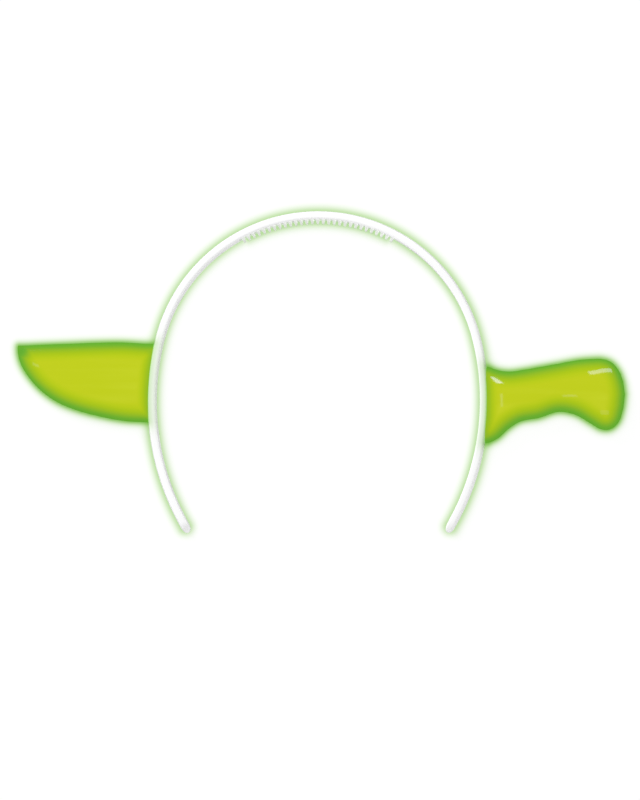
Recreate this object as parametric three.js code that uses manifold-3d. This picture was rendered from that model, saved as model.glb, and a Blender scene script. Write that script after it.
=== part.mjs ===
// Light-up knife headband: a white comb headband with a hollow, translucent green knife that seems
// to pass through the wearer's head, its blade on one side and its handle on the other.
// Millimetres, +Z up. The headband lies on its side, as it does on a table: +X is the handle's side,
// +Y points to the crown, and the origin is on the table under the middle of the footprint.
import * as THREE from "three";
import { mergeVertices } from "three/addons/utils/BufferGeometryUtils.js";
import Module from "manifold-3d";

const wasm = await Module();
wasm.setup();

// Headband arch. Its outer face is one crown arc between two limb arcs, tangent to both.
const BAND_OUTER_WIDTH = 140; // across the limbs at their widest level
const CROWN_RISE = 77.8; // from the widest level up to the top of the crown
const LIMB_DROP = 54; // from the widest level down to the tips
const LIMB_RADIUS = 105; // bend of a limb's outer face
const BAND_THICKNESS = 3.5; // from the outer face to the face on the head
const BAND_DEPTH = 10; // from the front edge to the back edge
const BAND_BULGE = 0.5; // how far the outer face is rounded out along its middle
const BAND_EDGE_ROUND = 1; // radius of the four long edges
const MOST_ROUND_SHARE = 0.4; // most of the thickness that one rounded edge may take
const TIP_TAPER = 5; // length over which a tip rounds off
const TIP_RINGS = 5;
const BAND_STEP = 3.5; // largest turn between two sections, in degrees

// Comb on the crown's inner face
const TOOTH_COUNT = 29;
const TOOTH_PITCH = 2.28; // along the inner face
const TOOTH_LENGTH = 2.1;
const TOOTH_ROOT_WIDTH = 1.3;
const TOOTH_TIP_WIDTH = 0.8;
const TOOTH_MARGIN = 1.5; // bare band between a tooth and each long edge
const TOOTH_ROOT_SINK = 0.5; // buried in the band, so that both are one moulding

// Knife shells
const SHELL_WALL = 1.5;
const SEAT_GAP = 0.3; // between two pieces that rest on each other
const BLADE_LENGTH = 53.7; // from the band's widest point to the tip
const BLADE_HEIGHT = 33; // from the cutting edge's lowest point to the spine
const BLADE_THICKNESS = 9;
const BLADE_LEVEL = 7.7; // middle of the blade above the widest level
const HANDLE_LENGTH = 55.7; // from the band's widest point to the butt
const HANDLE_HEIGHT = 34.4; // from the guard's lower corner to the top of the pommel
const HANDLE_THICKNESS = 14;
const HANDLE_DROP = 8.1; // middle of the handle under the middle of the blade
const BLADE_SQUARENESS = 2.9; // exponent of a section's superellipse: 2 is an ellipse
const HANDLE_SQUARENESS = 2.4;
const SECTION_SIDES = 24;
const OUTSIDE_STEPS = 3; // sections made between two rows of a table, outside
const HOLLOW_STEPS = 1; // and in the hollow
const LEAST_SQUARE_TO = 0.6; // sine of the steepest slant that the wall is thickened for

// Hidden posts that carry the shells
const POST_HEIGHT = 10; // along the band
const POST_THICKNESS = 4;
const POST_REACH = 10; // into the shell, from the band's face
const POST_POCKET = 1.3; // depth of its pocket in the band

// The blade from root to tip. Each row pairs a point on the spine with one on the cutting edge: "out"
// is a share of the length, "rise" a share of the height and "thick" a share of the thickness.
const BLADE_ROWS = [
  { topOut: 0.0, topRise: 0.978, lowOut: 0.0, lowRise: 0.0, thick: 1.0 },
  { topOut: 0.2, topRise: 0.997, lowOut: 0.19, lowRise: 0.021, thick: 1.0 },
  { topOut: 0.41, topRise: 0.993, lowOut: 0.37, lowRise: 0.076, thick: 1.0 },
  { topOut: 0.6, topRise: 0.982, lowOut: 0.54, lowRise: 0.15, thick: 0.97 },
  { topOut: 0.74, topRise: 0.974, lowOut: 0.69, lowRise: 0.251, thick: 0.91 },
  { topOut: 0.85, topRise: 0.968, lowOut: 0.81, lowRise: 0.385, thick: 0.82 },
  { topOut: 0.925, topRise: 0.963, lowOut: 0.903, lowRise: 0.545, thick: 0.68 },
  { topOut: 0.968, topRise: 0.96, lowOut: 0.963, lowRise: 0.71, thick: 0.5 },
  { topOut: 0.991, topRise: 0.956, lowOut: 0.992, lowRise: 0.85, thick: 0.27 },
  { topOut: 1.0, topRise: 0.925, lowOut: 1.0, lowRise: 0.925, thick: 0.0 },
];

// The handle from guard to butt, in the same columns: guard flare, waist, grip, hooked pommel, butt.
const HANDLE_ROWS = [
  { topOut: 0.0, topRise: 0.91, lowOut: 0.0, lowRise: 0.0, thick: 0.84 },
  { topOut: 0.07, topRise: 0.868, lowOut: 0.07, lowRise: 0.06, thick: 0.84 },
  { topOut: 0.152, topRise: 0.852, lowOut: 0.147, lowRise: 0.172, thick: 0.83 },
  { topOut: 0.242, topRise: 0.868, lowOut: 0.233, lowRise: 0.257, thick: 0.83 },
  { topOut: 0.377, topRise: 0.905, lowOut: 0.368, lowRise: 0.3, thick: 0.86 },
  { topOut: 0.512, topRise: 0.943, lowOut: 0.512, lowRise: 0.37, thick: 0.89 },
  { topOut: 0.646, topRise: 0.983, lowOut: 0.637, lowRise: 0.335, thick: 0.94 },
  { topOut: 0.754, topRise: 0.999, lowOut: 0.75, lowRise: 0.23, thick: 0.99 },
  { topOut: 0.835, topRise: 0.998, lowOut: 0.826, lowRise: 0.162, thick: 1.0 },
  { topOut: 0.903, topRise: 0.957, lowOut: 0.894, lowRise: 0.163, thick: 0.92 },
  { topOut: 0.955, topRise: 0.86, lowOut: 0.952, lowRise: 0.245, thick: 0.74 },
  { topOut: 0.986, topRise: 0.73, lowOut: 0.986, lowRise: 0.405, thick: 0.45 },
  { topOut: 1.0, topRise: 0.575, lowOut: 1.0, lowRise: 0.575, thick: 0.0 },
];

const whitePlastic = new THREE.MeshStandardMaterial({ color: 0xf4f4f6, roughness: 0.3, metalness: 0 });
const litGreen = new THREE.MeshStandardMaterial({
  color: 0xbccd1e,
  roughness: 0.2,
  metalness: 0,
  emissive: 0x6b8f10,
  emissiveIntensity: 0.6,
});

// Arch geometry

const limbCentreX = BAND_OUTER_WIDTH / 2 - LIMB_RADIUS;
const radiusLead = LIMB_RADIUS - CROWN_RISE;
const crownCentreY = (limbCentreX ** 2 - radiusLead ** 2) / (2 * radiusLead);
const crownRadius = CROWN_RISE - crownCentreY;
const joinTurn = Math.atan2(crownCentreY, -limbCentreX); // where a limb arc meets the crown arc
const tipTurn = -Math.asin(LIMB_DROP / (LIMB_RADIUS - BAND_THICKNESS / 2));
const handleLevel = BLADE_LEVEL - HANDLE_DROP;

// The point at a depth under the outer face, where that face's normal is turned this far from +X.
function archPoint(turn, depth) {
  const left = turn > Math.PI / 2;
  const own = left ? Math.PI - turn : turn;
  const onLimb = own < joinTurn;
  const radius = (onLimb ? LIMB_RADIUS : crownRadius) - depth;
  const x = (onLimb ? limbCentreX : 0) + radius * Math.cos(own);
  const y = (onLimb ? 0 : crownCentreY) + radius * Math.sin(own);
  return new THREE.Vector2(left ? -x : x, y);
}

// How far the outer face is from the middle line at a height over the widest level.
function outerFaceAt(height) {
  const onLimb = height < LIMB_RADIUS * Math.sin(joinTurn);
  const radius = onLimb ? LIMB_RADIUS : crownRadius;
  const rise = THREE.MathUtils.clamp(height - (onLimb ? 0 : crownCentreY), -radius, radius);
  return (onLimb ? limbCentreX : 0) + Math.sqrt(radius ** 2 - rise ** 2);
}

// Solids

const MERGE_DISTANCE = 1e-4;

// A closed skin through rings of equal length, fanned shut at both ends. Rings run anticlockwise as
// seen from the end that the list runs towards.
function loftGeometry(rings) {
  const sides = rings[0].length;
  const vertices = [...rings.flat(), middleOf(rings[0]), middleOf(rings.at(-1))];
  const startMiddle = rings.length * sides;
  const endMiddle = startMiddle + 1;
  const lastRing = (rings.length - 1) * sides;
  const triangles = [];
  for (let side = 0; side < sides; side++) {
    const next = (side + 1) % sides;
    triangles.push(startMiddle, next, side);
    triangles.push(endMiddle, lastRing + side, lastRing + next);
    for (let ring = 0; ring < lastRing; ring += sides) {
      triangles.push(ring + side, ring + next, ring + sides + next);
      triangles.push(ring + side, ring + sides + next, ring + sides + side);
    }
  }
  const geometry = new THREE.BufferGeometry().setFromPoints(vertices);
  geometry.setIndex(triangles);
  return geometry;
}

function middleOf(points) {
  const sum = points.reduce((total, point) => total.add(point), new THREE.Vector3());
  return sum.divideScalar(points.length);
}

function solidOf(geometry) {
  const bare = new THREE.BufferGeometry().setAttribute("position", geometry.getAttribute("position"));
  bare.setIndex(geometry.index);
  const merged = mergeVertices(bare, MERGE_DISTANCE);
  return new wasm.Manifold(
    new wasm.Mesh({
      numProp: 3,
      vertProperties: merged.attributes.position.array,
      triVerts: new Uint32Array(merged.index.array),
    }),
  );
}

function geometryOf(solid) {
  const mesh = solid.getMesh();
  const geometry = new THREE.BufferGeometry();
  geometry.setAttribute("position", new THREE.BufferAttribute(mesh.vertProperties, mesh.numProp));
  geometry.setIndex(new THREE.BufferAttribute(mesh.triVerts, 1));
  const flat = geometry.toNonIndexed();
  flat.computeVertexNormals();
  return flat;
}

function boxSolid(low, high) {
  const size = high.clone().sub(low);
  const geometry = new THREE.BoxGeometry(size.x, size.y, size.z);
  const middle = low.clone().add(high).divideScalar(2);
  return solidOf(geometry.translate(middle.x, middle.y, middle.z));
}

// Everything inside the band's outer face, with that face moved outwards by the clearance. Cutting a
// piece with it leaves a seat that follows the band.
function insideBand(clearance, halfDepth) {
  const outline = sectionTurns().map((turn) => archPoint(turn, -clearance));
  const geometry = new THREE.ExtrudeGeometry(new THREE.Shape(outline), {
    depth: 2 * halfDepth,
    bevelEnabled: false,
  });
  return solidOf(geometry.translate(0, 0, -halfDepth));
}

// Headband

// Turns of the sections from the handle-side tip over the crown to the other tip, in even steps.
function sectionTurns() {
  const sweep = Math.PI - 2 * tipTurn;
  const count = Math.ceil(THREE.MathUtils.radToDeg(sweep) / BAND_STEP);
  return Array.from({ length: count + 1 }, (_, i) => tipTurn + (sweep * i) / count);
}

// The band's section as [depth under the outer face, z]: a flat face on the head, rounded edges and a
// slightly domed outer face.
function bandSection() {
  const round = Math.min(BAND_EDGE_ROUND, MOST_ROUND_SHARE * (BAND_THICKNESS - BAND_BULGE));
  const flatHalf = BAND_DEPTH / 2 - round;
  const corner = (depth, z, fromTurn) =>
    [0, 1, 2, 3].map((i) => {
      const turn = fromTurn + (i * Math.PI) / 6;
      return [depth + round * Math.cos(turn), z + round * Math.sin(turn)];
    });
  const dome = [-0.5, 0, 0.5].map((share) => [BAND_BULGE * share ** 2, share * flatHalf]);
  const innerCorner = BAND_THICKNESS - round;
  const outerCorner = BAND_BULGE + round;
  return [
    ...corner(innerCorner, flatHalf, 0),
    ...corner(outerCorner, flatHalf, Math.PI / 2),
    ...dome.reverse(),
    ...corner(outerCorner, -flatHalf, Math.PI),
    ...corner(innerCorner, -flatHalf, 1.5 * Math.PI),
  ];
}

// One ring of the band. Shares shrink its thickness and its depth about their middles, at a tip.
function bandRing(turn, thicknessShare = 1, depthShare = 1, along = 0) {
  const half = BAND_THICKNESS / 2;
  const ahead = new THREE.Vector2(-Math.sin(turn), Math.cos(turn)).multiplyScalar(along);
  return bandSection().map(([depth, z]) => {
    const point = archPoint(turn, half + (depth - half) * thicknessShare).add(ahead);
    return new THREE.Vector3(point.x, point.y, z * depthShare);
  });
}

// Rings that round off a tip. They run straight on from the last full section, and direction is 1 at
// the end of the sweep and -1 at its start. A tip looks fully round from the side and blunt from the front.
function tipRings(turn, direction) {
  return Array.from({ length: TIP_RINGS }, (_, i) => {
    const share = Math.sin(((i + 1) * Math.PI) / 2 / (TIP_RINGS + 1));
    const thicknessShare = Math.sqrt(1 - share ** 4);
    const depthShare = Math.sqrt(1 - share ** 2);
    return bandRing(turn, thicknessShare, depthShare, direction * share * TIP_TAPER);
  });
}

// A wedge that stands on the inner face and points at the head.
function toothSolid(turn) {
  const span = BAND_DEPTH - 2 * TOOTH_MARGIN;
  const profile = new THREE.Shape([
    new THREE.Vector2(TOOTH_ROOT_SINK, -TOOTH_ROOT_WIDTH / 2),
    new THREE.Vector2(TOOTH_ROOT_SINK, TOOTH_ROOT_WIDTH / 2),
    new THREE.Vector2(-TOOTH_LENGTH, TOOTH_TIP_WIDTH / 2),
    new THREE.Vector2(-TOOTH_LENGTH, -TOOTH_TIP_WIDTH / 2),
  ]);
  const geometry = new THREE.ExtrudeGeometry(profile, { depth: span, bevelEnabled: false });
  geometry.rotateZ(turn);
  const foot = archPoint(turn, BAND_THICKNESS);
  return solidOf(geometry.translate(foot.x, foot.y, -span / 2));
}

function headbandSolid() {
  const first = tipTurn + TIP_TAPER / (LIMB_RADIUS - BAND_THICKNESS / 2);
  const last = Math.PI - first;
  const turns = sectionTurns().filter((turn) => turn > first && turn < last);
  const rings = [
    ...tipRings(first, -1).reverse(),
    ...[first, ...turns, last].map((turn) => bandRing(turn)),
    ...tipRings(last, 1),
  ];
  let solid = solidOf(loftGeometry(rings));
  const pitchTurn = TOOTH_PITCH / (crownRadius - BAND_THICKNESS);
  for (let tooth = 0; tooth < TOOTH_COUNT; tooth++) {
    solid = solid.add(toothSolid(Math.PI / 2 + (tooth - (TOOTH_COUNT - 1) / 2) * pitchTurn));
  }
  return solid
    .subtract(postBox(-1, BLADE_LEVEL, SEAT_GAP))
    .subtract(postBox(1, handleLevel, SEAT_GAP));
}

// Posts

// The post's block on one side, grown by a clearance all round. Side is 1 for the handle.
function postBox(side, level, clearance) {
  const face = outerFaceAt(level);
  const near = face - POST_POCKET - (clearance ? 0 : -SEAT_GAP);
  const far = face + POST_REACH + clearance;
  const halfHeight = POST_HEIGHT / 2 + clearance;
  const halfThickness = POST_THICKNESS / 2 + clearance;
  return boxSolid(
    new THREE.Vector3(side > 0 ? near : -far, level - halfHeight, -halfThickness),
    new THREE.Vector3(side > 0 ? far : -near, level + halfHeight, halfThickness),
  );
}

// Shells

// Turns a table into two edge curves. A curve's z holds the half thickness at that row.
function edgeCurves(rows, length, height, thickness, level) {
  const base = level - height / 2;
  const start = BAND_OUTER_WIDTH / 2;
  const point = (out, rise, thick) =>
    new THREE.Vector3(start + out * length, base + rise * height, (thick * thickness) / 2);
  const top = rows.map((row) => point(row.topOut, row.topRise, row.thick));
  const low = rows.map((row) => point(row.lowOut, row.lowRise, row.thick));
  return {
    top: new THREE.CatmullRomCurve3(top, false, "centripetal"),
    low: new THREE.CatmullRomCurve3(low, false, "centripetal"),
    rowCount: rows.length,
  };
}

// One closed section between a point on each edge, as a superellipse that is inset by the wall. Where an
// edge slants to the section, the inset there grows so that the wall keeps its thickness.
function shellRing(edges, share, squareness, inset) {
  const top = edges.top.getPoint(share);
  const low = edges.low.getPoint(share);
  const half = new THREE.Vector2(top.x - low.x, top.y - low.y).divideScalar(2);
  const reach = half.length();
  const insetAt = (edge) => {
    const slope = edge.getTangent(share);
    const along = new THREE.Vector2(slope.x, slope.y).normalize();
    const squareTo = Math.abs(along.cross(half)) / reach;
    return inset / Math.max(squareTo, LEAST_SQUARE_TO);
  };
  const topInset = inset ? insetAt(edges.top) : 0;
  const lowInset = inset ? insetAt(edges.low) : 0;
  const halfHeight = reach - (topInset + lowInset) / 2;
  const halfThickness = top.z - inset;
  const unit = half.clone().divideScalar(reach || 1);
  const middle = new THREE.Vector2(top.x + low.x, top.y + low.y)
    .divideScalar(2)
    .addScaledVector(unit, (lowInset - topInset) / 2);
  const power = 2 / squareness;
  const ring = [];
  for (let side = 0; side < SECTION_SIDES; side++) {
    const turn = (2 * Math.PI * side) / SECTION_SIDES;
    const across = Math.sign(Math.cos(turn)) * Math.abs(Math.cos(turn)) ** power * halfHeight;
    const z = Math.sign(Math.sin(turn)) * Math.abs(Math.sin(turn)) ** power * halfThickness;
    ring.push(new THREE.Vector3(middle.x + unit.x * across, middle.y + unit.y * across, z));
  }
  return { ring, middle, halfHeight, halfThickness };
}

// A shell's body for the +X side, outside or inset. It starts inside the band, to be trimmed there, and
// an inset body stops a wall short of the end.
function bodySolid(edges, squareness, inset, stepsPerRow) {
  const count = (edges.rowCount - 1) * stepsPerRow;
  const sections = Array.from({ length: count }, (_, i) => shellRing(edges, i / count, squareness, inset));
  const end = edges.top.getPoint(1).x - inset;
  const open = sections.filter(({ middle, halfHeight, halfThickness }) => {
    return middle.x <= end && Math.min(halfHeight, halfThickness) > inset / 2;
  });
  const rings = open.map(({ ring }) => ring);
  const root = rings[0];
  const rootBack = Math.min(...root.map((point) => outerFaceAt(point.y) - point.x));
  const runIn = Math.min(rootBack, 0) - BAND_THICKNESS;
  rings.unshift(root.map((point) => point.clone().setX(point.x + runIn)));
  return solidOf(loftGeometry(rings));
}

function shellSolid(edges, squareness, level, cutHalfDepth) {
  const body = bodySolid(edges, squareness, 0, OUTSIDE_STEPS);
  const outside = body.subtract(insideBand(SEAT_GAP, cutHalfDepth));
  const inside = bodySolid(edges, squareness, SHELL_WALL, HOLLOW_STEPS);
  const hollow = inside.subtract(insideBand(SEAT_GAP + SHELL_WALL, cutHalfDepth));
  return outside.subtract(hollow).subtract(postBox(1, level, SEAT_GAP));
}

// Assembly

function part(name, solid, material, mirrored = false) {
  const geometry = geometryOf(mirrored ? solid.mirror([1, 0, 0]) : solid);
  const mesh = new THREE.Mesh(geometry, material);
  mesh.name = name;
  return mesh;
}

const bladeEdges = edgeCurves(BLADE_ROWS, BLADE_LENGTH, BLADE_HEIGHT, BLADE_THICKNESS, BLADE_LEVEL);
const handleEdges = edgeCurves(
  HANDLE_ROWS,
  HANDLE_LENGTH,
  HANDLE_HEIGHT,
  HANDLE_THICKNESS,
  handleLevel,
);
const cutHalfDepth = Math.max(BLADE_THICKNESS, HANDLE_THICKNESS, BAND_DEPTH);

const assembly = new THREE.Group();
assembly.add(
  part("headband", headbandSolid(), whitePlastic),
  part("blade_shell", shellSolid(bladeEdges, BLADE_SQUARENESS, BLADE_LEVEL, cutHalfDepth), litGreen, true),
  part("handle_shell", shellSolid(handleEdges, HANDLE_SQUARENESS, handleLevel, cutHalfDepth), litGreen),
  part("blade_post", postBox(-1, BLADE_LEVEL, 0), whitePlastic),
  part("handle_post", postBox(1, handleLevel, 0), whitePlastic),
);

// Stand the assembly on the table, centred over the origin.
const bounds = new THREE.Box3().setFromObject(assembly);
const middle = bounds.getCenter(new THREE.Vector3());
assembly.position.set(-middle.x, -middle.y, -bounds.min.z);

const headband = new THREE.Group();
headband.add(assembly);

export default headband;
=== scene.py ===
"""Light-up knife headband: a white comb headband with a lit, translucent green knife, its blade on
one side and its handle on the other. It lies on its side on a pale surface, seen from above."""
import math

import bmesh
import bpy
import numpy as np
from mathutils import Matrix, Vector


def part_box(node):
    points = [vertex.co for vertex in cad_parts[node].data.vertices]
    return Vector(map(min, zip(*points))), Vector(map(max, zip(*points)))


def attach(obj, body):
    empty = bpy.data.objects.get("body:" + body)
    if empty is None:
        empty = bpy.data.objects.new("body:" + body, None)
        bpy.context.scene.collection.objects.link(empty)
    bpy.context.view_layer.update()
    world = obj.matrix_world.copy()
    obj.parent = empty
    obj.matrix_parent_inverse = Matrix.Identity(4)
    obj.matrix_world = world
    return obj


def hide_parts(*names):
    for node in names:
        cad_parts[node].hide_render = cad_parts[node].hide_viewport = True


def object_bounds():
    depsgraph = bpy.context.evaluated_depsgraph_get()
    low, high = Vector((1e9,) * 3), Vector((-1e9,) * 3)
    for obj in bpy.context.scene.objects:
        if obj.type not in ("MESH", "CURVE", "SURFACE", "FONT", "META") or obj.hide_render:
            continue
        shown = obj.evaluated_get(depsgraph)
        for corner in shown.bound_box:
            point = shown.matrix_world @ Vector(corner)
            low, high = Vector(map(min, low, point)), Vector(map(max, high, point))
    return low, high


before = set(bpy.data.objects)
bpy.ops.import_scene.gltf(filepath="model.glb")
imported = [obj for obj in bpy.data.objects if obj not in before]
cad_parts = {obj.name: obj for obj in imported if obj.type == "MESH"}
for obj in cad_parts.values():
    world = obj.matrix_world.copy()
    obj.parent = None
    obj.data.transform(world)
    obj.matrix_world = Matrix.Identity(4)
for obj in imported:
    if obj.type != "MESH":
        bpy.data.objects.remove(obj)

cad_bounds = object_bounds()

# Shapes are worked out in millimetres about the middle of the band at its widest level, with +X to
# the handle and +Y to the crown, and become metres of the frame where a mesh is made.
MM = 0.001

# Headband arch: a crown arc between two limb arcs
BAND_OUTER_WIDTH = 140.0
CROWN_RISE = 77.8
LIMB_DROP = 54.0
LIMB_RADIUS = 105.0
BAND_THICKNESS = 3.5
BAND_DEPTH = 10.0
BAND_BULGE = 0.5
BAND_EDGE_ROUND = 1.0
CORNER_POINTS = 7
DOME_POINTS = 15
TIP_TAPER = 5.0
TIP_SECTIONS = 12
TIP_CLOSED_AT = 0.998
BAND_STEP = 1.0
SHARP_ANGLE = 38

# Comb
TOOTH_COUNT = 29
TOOTH_PITCH = 2.28
TOOTH_LENGTH = 1.75
TOOTH_ROOT_WIDTH = 1.3
TOOTH_TIP_WIDTH = 0.8
TOOTH_MARGIN = 1.5
TOOTH_ROOT_SINK = 0.5
TOOTH_END_SLANT = 1.5
TOOTH_EDGE_ROUND = 0.22
TOOTH_ROOT_HALF_DEPTH = BAND_DEPTH / 2 - TOOTH_MARGIN

# Knife shells
SHELL_WALL = 1.5
SEAT_GAP = 0.3
SEAT_SHOWN = 0.08
ROOT_EDGE_ROUND = 0.12
ROOT_EDGE_STEPS = 5
ROOT_COLUMNS = 12
ROOT_REACH_IN = 0.7
BLADE_LENGTH = 53.7
BLADE_HEIGHT = 33.0
BLADE_THICKNESS = 9.0
BLADE_LEVEL = 7.7
HANDLE_LENGTH = 55.7
HANDLE_HEIGHT = 34.4
HANDLE_THICKNESS = 14.0
HANDLE_LEVEL = -0.4
BLADE_SQUARENESS = 2.9
HANDLE_SQUARENESS = 2.4
LEAST_SQUARE_TO = 0.6
OUTSIDE_STEPS = 14
HOLLOW_STEPS = 5
OUTSIDE_SIDES = 160
HOLLOW_SIDES = 64
QUARTER_STEPS = 2000
OUTLINE_STEPS = 160
ROOT_LINE_STEPS = 40
HOLLOW_START = 0.2

# Hidden posts
POST_HEIGHT = 10.0
POST_THICKNESS = 4.0
POST_REACH = 10.0
POST_POCKET = 1.3

# Each row pairs a point on the top edge with one on the lower edge, from root to tip: how far out,
# as a share of the length, how high, as a share of the height, and how thick, as a share of the
# thickness.
# Columns: top_out, top_rise, low_out, low_rise, thick.
BLADE_ROWS = (
    (0.0, 0.978, 0.0, 0.0, 1.0),
    (0.2, 0.997, 0.19, 0.021, 1.0),
    (0.41, 0.993, 0.37, 0.076, 1.0),
    (0.6, 0.982, 0.54, 0.15, 0.97),
    (0.74, 0.974, 0.69, 0.251, 0.91),
    (0.85, 0.968, 0.81, 0.385, 0.82),
    (0.925, 0.963, 0.903, 0.545, 0.68),
    (0.97, 0.962, 0.968, 0.71, 0.5),
    (0.995, 0.96, 0.9955, 0.85, 0.27),
    (1.0, 0.93, 1.0, 0.93, 0.0),
)
HANDLE_ROWS = (
    (0.0, 0.91, 0.0, 0.0, 0.84),
    (0.07, 0.868, 0.07, 0.06, 0.84),
    (0.152, 0.852, 0.147, 0.172, 0.83),
    (0.242, 0.868, 0.233, 0.257, 0.83),
    (0.377, 0.905, 0.368, 0.3, 0.86),
    (0.512, 0.943, 0.512, 0.37, 0.89),
    (0.646, 0.983, 0.637, 0.335, 0.94),
    (0.754, 0.999, 0.75, 0.23, 0.99),
    (0.835, 0.998, 0.826, 0.162, 1.0),
    (0.903, 0.957, 0.894, 0.163, 0.92),
    (0.955, 0.86, 0.952, 0.245, 0.74),
    (0.986, 0.73, 0.986, 0.405, 0.45),
    (1.0, 0.575, 1.0, 0.575, 0.0),
)

# Colours of a lit shell, as a screen shows them, over the distance in from its edge: painted
# shade, deep green at the edge and bright lime further in
EDGE_SHADE_COLOURS = (
    (0.0, (100, 173, 50)),
    (0.9, (108, 177, 50)),
    (1.7, (124, 182, 45)),
    (2.5, (144, 187, 40)),
    (3.3, (158, 193, 33)),
    (4.1, (169, 198, 27)),
    (5.7, (185, 205, 28)),
    (7.4, (193, 207, 31)),
)
RIM_REACH = 8.2
ROOT_RIM_START = 2.5
ROOT_RIM_SLOPE = 1.2
POINT_RIM_START = 2.6
POINT_RIM_SLOPE = 0.9
# Colour of the lighter streaks painted into the lit plastic: painted reflection
PAINTED_REFLECTION_COLOUR = (202, 215, 48)
LIT_GLOW = 0.81
LIT_BASE_SHARE = 0.25

# Finishes: colours, spans of roughness, cells per metre of each noise and depth of each bump
WHITE_BODY = (0.93, 0.93, 0.935, 1)
WHITE_PATCH = (0.905, 0.907, 0.915, 1)
WHITE_ROUGHNESS = (0.25, 0.36)
LIT_ROUGHNESS = (0.1, 0.15)
LIT_IOR = 1.49
SURFACE_ROUGHNESS = 0.9
MOTTLE_CELLS = 90
GRAIN_CELLS = 1600
FLOW_CELLS = 60
REFLECTION_STREAK_CELLS = 150
GLOSS_CELLS = 220
RIPPLE_CELLS = 120
RIM_WAVER = 0.025
GRAIN_DEPTH = 0.0001
RIPPLE_DEPTH = 0.0004
BUMP_STRENGTH = 0.1

# The painted green that white takes under the shells' light, on the surface and on the band, and
# how that painted light falls off with distance
GLOW_COLOUR = (100, 176, 44)
GLOW_STOPS = 9
BAND_GLOW = {"peak": 0.41, "reach": 1.92, "power": 1.5}
KNIFE_GLOW = {"peak": 0.78, "reach": 1.4, "power": 1.35}
COMB_GLOW = {"peak": 0.08, "reach": 1.3, "power": 4.0}
# Painted green light on the band beside a shell's root
ROOT_PAINTED_GLOW = {"peak": 0.6, "reach": 1.6, "power": 0.85}
GLOW_LINE_HALF = 1.95
GLOW_TIP_TRIM = 2.8
COMB_GLOW_DEPTH = 1.3
# On the comb: painted green glow on the band's inner face, and painted green shade on the teeth
WALL_PAINTED_GLOW = 0.17
WALL_PAINTED_GLOW_HALF = 3.2
WALL_SKIN = 0.1
TOOTH_PAINTED_SHADE = (0.06, 0.09)
COMB_GLOW_TRIM = 1.5
# A painted glow that lightens the white plastic, though it is no lamp
WHITE_PAINTED_GLOW = 0.28
SURFACE_GLOW = 0.95
SURFACE_BASE_SHARE = 0.1

# Streaks of light on the gloss: name, side, its two ends in plan, width and glare
GLOSS_STREAKS = (
    ("pommel_streak", 1, (110.5, 10.8), (120.1, 12.1), 1.6, 6.5),
    ("guard_streak", 1, (71.4, 9.6), (74.8, 6.9), 1.4, 11.5),
    ("guard_line", 1, (75.2, 2.7), (75.3, -2.8), 0.9, 2.0),
    ("grip_line", 1, (100.3, 1.6), (106.0, 1.8), 0.8, 1.6),
    ("pommel_patch", 1, (115.6, -5.0), (119.0, -5.0), 1.8, 0.8),
    ("tip_streak", -1, (-117.6, 15.7), (-114.8, 14.4), 0.8, 1.8),
)
LAMP_DISTANCE = 0.01
LAMP_COLOUR = (0.68, 0.52, 1.0)
NEIGHBOURS = ((0, 0), (0.3, 0), (-0.3, 0), (0, 0.3), (0, -0.3))

# Studio light, its spot in metres
KEY_SPOT = (-0.6, 0.8, 0.85)
KEY_POWER = 8.5
KEY_SIZE = 0.5
WORLD_STRENGTH = 0.5

# Camera and surface
CAMERA_HEIGHT = 2000.0
CAMERA_YAW = 3.0
CAMERA_PITCH = -2.5
VIEW_HEIGHT = 328.0
VIEW_MIDDLE_X = 0.9
VIEW_MIDDLE_Y = 0.25
SENSOR = 24.0
CLIP_END = 20.0
FLOOR_MARGIN = 14.0
FLOOR_CELL = 1.0
FLOOR_HALF = 3000.0

band_low, band_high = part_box("headband")
BAND_MIDDLE_X = (band_low.x + band_high.x) / 2 / MM
WIDEST_Y = band_high.y / MM - CROWN_RISE
CAMERA_SLOPES = np.tan(np.radians((CAMERA_YAW, CAMERA_PITCH)))
MIDDLE_Z = (band_low.z + band_high.z) / 2 / MM


# Arch geometry

LIMB_CENTRE_X = BAND_OUTER_WIDTH / 2 - LIMB_RADIUS
RADIUS_LEAD = LIMB_RADIUS - CROWN_RISE
CROWN_CENTRE_Y = (LIMB_CENTRE_X ** 2 - RADIUS_LEAD ** 2) / (2 * RADIUS_LEAD)
CROWN_RADIUS = CROWN_RISE - CROWN_CENTRE_Y
JOIN_TURN = math.atan2(CROWN_CENTRE_Y, -LIMB_CENTRE_X)
TIP_TURN = -math.asin(LIMB_DROP / (LIMB_RADIUS - BAND_THICKNESS / 2))
TAPER_TURN = TIP_TURN + TIP_TAPER / (LIMB_RADIUS - BAND_THICKNESS / 2)
TOOTH_PITCH_TURN = TOOTH_PITCH / (CROWN_RADIUS - BAND_THICKNESS)


def arch_point(turn, depth):
    """The point at a depth under the outer face, where its normal is turned this far from +X."""
    left = turn > math.pi / 2
    own = math.pi - turn if left else turn
    on_limb = own < JOIN_TURN
    radius = (LIMB_RADIUS if on_limb else CROWN_RADIUS) - depth
    x = (LIMB_CENTRE_X if on_limb else 0.0) + radius * math.cos(own)
    y = (0.0 if on_limb else CROWN_CENTRE_Y) + radius * math.sin(own)
    return np.array((-x if left else x, y))


def arch_line(first, last, depth):
    """Points along the arch at one depth, between two turns."""
    count = math.ceil(math.degrees(last - first) / BAND_STEP)
    return np.array([arch_point(turn, depth) for turn in np.linspace(first, last, count + 1)])


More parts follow.
